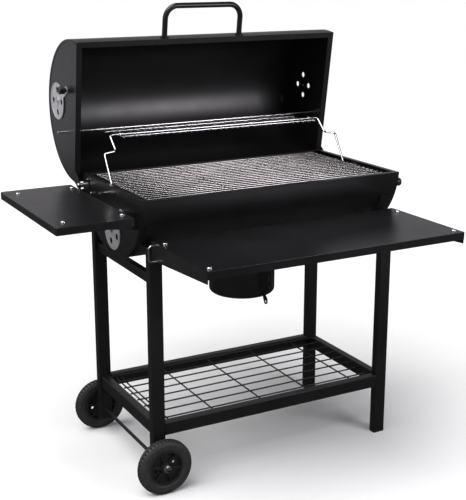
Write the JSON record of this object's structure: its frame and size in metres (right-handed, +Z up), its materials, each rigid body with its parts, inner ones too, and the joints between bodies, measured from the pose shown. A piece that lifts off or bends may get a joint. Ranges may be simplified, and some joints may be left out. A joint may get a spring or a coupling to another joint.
{
  "type": "barrel charcoal grill",
  "caption": "Barrel charcoal grill with an open hinged lid, wire grates, swinging warming rack, end dampers, ash cup, side and front tables, on a tubular cart with wheels.",
  "frame": {"origin": "middle of the whole grill's bounding box, on the floor", "axes": "+X along the barrel, away from the side table; -Y towards the cook and the front table; +Z up. The rest pose is the pictured one, with the lid open."},
  "size_m": [1.0996, 0.9664, 1.2958],
  "materials": {
    "barrel_paint": "satin black high-heat paint",
    "lid_paint": "satin black high-heat paint",
    "cart_paint": "satin black powder coat",
    "table_paint": "smooth satin black powder coat",
    "bracket_paint": "satin black powder coat",
    "handle_paint": "satin black powder coat",
    "cup_paint": "satin black high-heat paint",
    "shelf_wire": "black powder-coated wire",
    "charcoal_wire": "plain steel wire",
    "grate_chrome": "bright plated wire",
    "rack_chrome": "bright plated wire",
    "galvanised": "galvanised sheet with a soft sheen",
    "bolt_steel": "bright zinc-plated",
    "axle_steel": "zinc-plated",
    "black_plastic": "satin moulded black plastic",
    "tyre_rubber": "matt black moulded rubber",
    "hub_plastic": "satin moulded black plastic",
    "handle_wire": "black coated wire",
    "coil_paint": "black coated spring wire"
  },
  "bodies": {
    "cart": {"ash_collar": "cup_paint", "axle": "axle_steel", "axle_nuts": "axle_steel", "bracket_bolts": "bolt_steel", "charcoal_grate": "charcoal_wire", "charcoal_rails": "barrel_paint", "fire_damper_screws": "bolt_steel", "firebox_cap_left": "barrel_paint", "firebox_cap_right": "barrel_paint", "firebox_shell": "barrel_paint", "foot_plugs": "black_plastic", "front_table_arm_left": "bracket_paint", "front_table_arm_right": "bracket_paint", "front_table_top": "table_paint", "grate_ledges": "barrel_paint", "hinge_pins": "bolt_steel", "hinge_plates": "bracket_paint", "leg_front_left": "cart_paint", "leg_front_right": "cart_paint", "leg_rear_left": "cart_paint", "leg_rear_right": "cart_paint", "saddle_brackets": "cart_paint", "shelf_bars_long": "cart_paint", "shelf_bars_short": "cart_paint", "shelf_grid": "shelf_wire", "shelf_tabs": "cart_paint", "side_braces": "cart_paint", "side_knob": "black_plastic", "side_table_arms": "bracket_paint", "side_table_top": "table_paint", "table_bolts": "bolt_steel", "utensil_loop": "rack_chrome"},
    "lid": {"lid_shell": "lid_paint", "lid_cap_left": "lid_paint", "lid_cap_right": "lid_paint", "lid_handle": "handle_paint", "handle_screws": "bolt_steel", "lid_damper_screws": "bolt_steel"},
    "rack_legs": {"rack_legs": "rack_chrome"},
    "rack_shelf": {"rack_shelf": "rack_chrome"},
    "lid_damper_left": {"lid_damper_left": "galvanised", "lid_damper_left_knob": "black_plastic"},
    "lid_damper_right": {"lid_damper_right": "galvanised", "lid_damper_right_knob": "black_plastic"},
    "fire_damper_left": {"fire_damper_left": "galvanised", "fire_damper_left_knob": "black_plastic"},
    "fire_damper_right": {"fire_damper_right": "galvanised", "fire_damper_right_knob": "black_plastic"},
    "wheel_front": {"tyre_front": "tyre_rubber", "hub_front": "hub_plastic"},
    "wheel_rear": {"tyre_rear": "tyre_rubber", "hub_rear": "hub_plastic"},
    "ash_cup": {"ash_cup": "cup_paint", "cup_handle": "handle_wire", "cup_grip": "coil_paint", "cup_latch": "bracket_paint"},
    "cooking_grate_left": {"cooking_grate_left": "grate_chrome"},
    "cooking_grate_middle": {"cooking_grate_middle": "grate_chrome"},
    "cooking_grate_right": {"cooking_grate_right": "grate_chrome"}
  },
  "joints": [
    {"name": "lid_hinge", "type": "hinge", "parent": "cart", "child": "lid", "pos_m": [0.09915, 0.24975, 0.787], "axis": [1, 0, 0], "range_deg": [0, 81.5]},
    {"name": "rack_leg_hinge", "type": "hinge", "parent": "cart", "child": "rack_legs", "pos_m": [0.09915, 0.08475, 0.796], "axis": [1, 0, 0], "range_deg": [0, 81.5]},
    {"name": "rack_shelf_hinge", "type": "hinge", "parent": "rack_legs", "child": "rack_shelf", "pos_m": [0.09915, 0.19175, 0.936], "axis": [1, 0, 0], "range_deg": [-81.5, 0]},
    {"name": "lid_damper_left_turn", "type": "hinge", "parent": "lid", "child": "lid_damper_left", "pos_m": [-0.32835, 0.3989, 1.01354], "axis": [1, 0, 0], "range_deg": [0, 45]},
    {"name": "fire_damper_left_turn", "type": "hinge", "parent": "cart", "child": "fire_damper_left", "pos_m": [-0.30835, 0.04775, 0.697], "axis": [1, 0, 0], "range_deg": [0, 45]},
    {"name": "lid_damper_right_turn", "type": "hinge", "parent": "lid", "child": "lid_damper_right", "pos_m": [0.52665, 0.3989, 1.01354], "axis": [1, 0, 0], "range_deg": [0, 45]},
    {"name": "fire_damper_right_turn", "type": "hinge", "parent": "cart", "child": "fire_damper_right", "pos_m": [0.50665, 0.04775, 0.697], "axis": [1, 0, 0], "range_deg": [0, 45]},
    {"name": "wheel_front_spin", "type": "hinge", "parent": "cart", "child": "wheel_front", "pos_m": [-0.27385, -0.19225, 0.079], "axis": [0, 1, 0], "continuous": true},
    {"name": "wheel_rear_spin", "type": "hinge", "parent": "cart", "child": "wheel_rear", "pos_m": [-0.27385, 0.28775, 0.079], "axis": [0, 1, 0], "continuous": true},
    {"name": "ash_cup_release", "type": "slide", "parent": "cart", "child": "ash_cup", "axis": [0, 0, -1], "range_m": [0, 0.08]},
    {"name": "cooking_grate_left_lift", "type": "slide", "parent": "cart", "child": "cooking_grate_left", "axis": [0, 0, 1], "range_m": [0, 0.04]},
    {"name": "cooking_grate_middle_lift", "type": "slide", "parent": "cart", "child": "cooking_grate_middle", "axis": [0, 0, 1], "range_m": [0, 0.04]},
    {"name": "cooking_grate_right_lift", "type": "slide", "parent": "cart", "child": "cooking_grate_right", "axis": [0, 0, 1], "range_m": [0, 0.04]}
  ],
  "couplings": [
    {"joint": "rack_leg_hinge", "follows": "lid_hinge", "ratio": 1},
    {"joint": "rack_shelf_hinge", "follows": "lid_hinge", "ratio": -1}
  ]
}
